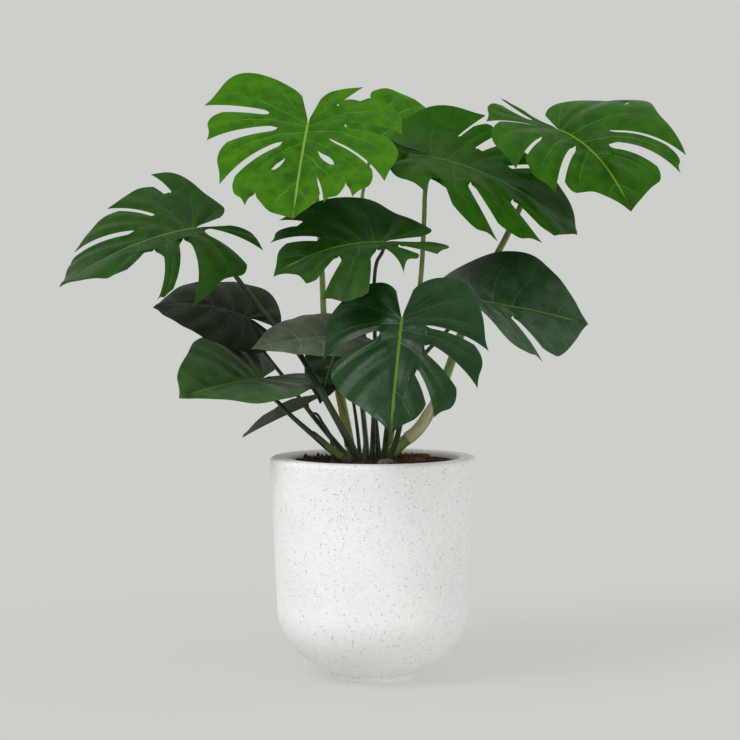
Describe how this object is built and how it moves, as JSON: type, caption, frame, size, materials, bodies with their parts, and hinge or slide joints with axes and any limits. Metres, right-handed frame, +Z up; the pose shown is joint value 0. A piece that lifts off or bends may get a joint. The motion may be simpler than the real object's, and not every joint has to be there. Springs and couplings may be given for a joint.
{
  "type": "potted monstera plant",
  "caption": "Large split-leaf houseplant with long arching stalks and broad slit leaves, growing in a round white tapered floor planter; decorates and greens a room.",
  "frame": {"origin": "centre of the planter's flat foot, on the floor plane", "axes": "+Z up along the planter's axis, -Y towards the front of the plant, +X to the right seen from the front"},
  "size_m": [0.9398, 0.557, 0.9361],
  "materials": {
    "planter": "matt off-white with sparse fine dark specks",
    "potting_soil": "rough dark crumbly compost",
    "leaf_bright": "waxy fresh green, softly glossy",
    "leaf_mid": "waxy mid green, softly glossy",
    "leaf_deep": "waxy deep green, glossy",
    "leaf_dark": "waxy dark bluish green, glossy",
    "leaf_dull": "waxy dull green, softly glossy",
    "leaf_pale": "matt pale grey-green underside",
    "stalk_young": "smooth light green stem",
    "stalk_old": "smooth dark green stem with fine streaks",
    "sheath_dry": "papery dried sheath, ribbed",
    "sheath_yellow": "yellowing sheath, ribbed",
    "sheath_green": "green sheath, ribbed",
    "spear": "dark rolled young leaf, dull",
    "bark": "rough brown bark",
    "pebble": "rough grey-brown"
  },
  "bodies": {
    "root": {"pot": "planter", "soil": "potting_soil", "blade_top_left": "leaf_bright", "stalk_top_left": "stalk_young", "blade_far_left": "leaf_deep", "stalk_far_left": "stalk_old", "blade_middle": "leaf_deep", "stalk_middle": "stalk_old", "blade_upper_right": "leaf_mid", "stalk_upper_right": "stalk_old", "blade_top_right": "leaf_bright", "stalk_top_right": "stalk_young", "blade_front": "leaf_dark", "stalk_front": "stalk_old", "blade_right": "leaf_dark", "stalk_right": "stalk_old", "blade_dark_left": "leaf_dark", "stalk_dark_left": "stalk_old", "blade_low_left": "leaf_dull", "stalk_low_left": "stalk_old", "blade_pale": "leaf_pale", "stalk_pale": "stalk_old", "blade_hanging": "leaf_dark", "stalk_hanging": "stalk_old", "blade_narrow": "leaf_dull", "stalk_narrow": "stalk_old", "blade_back": "leaf_bright", "stalk_back": "stalk_young", "sheath_top_right": "sheath_dry", "sheath_top_left": "sheath_yellow", "sheath_low_left": "sheath_green", "spear_tall": "spear", "spear_short": "spear", "bark_long": "bark", "bark_front": "bark", "bark_left": "bark", "stone_grey": "pebble"}
  },
  "joints": []
}
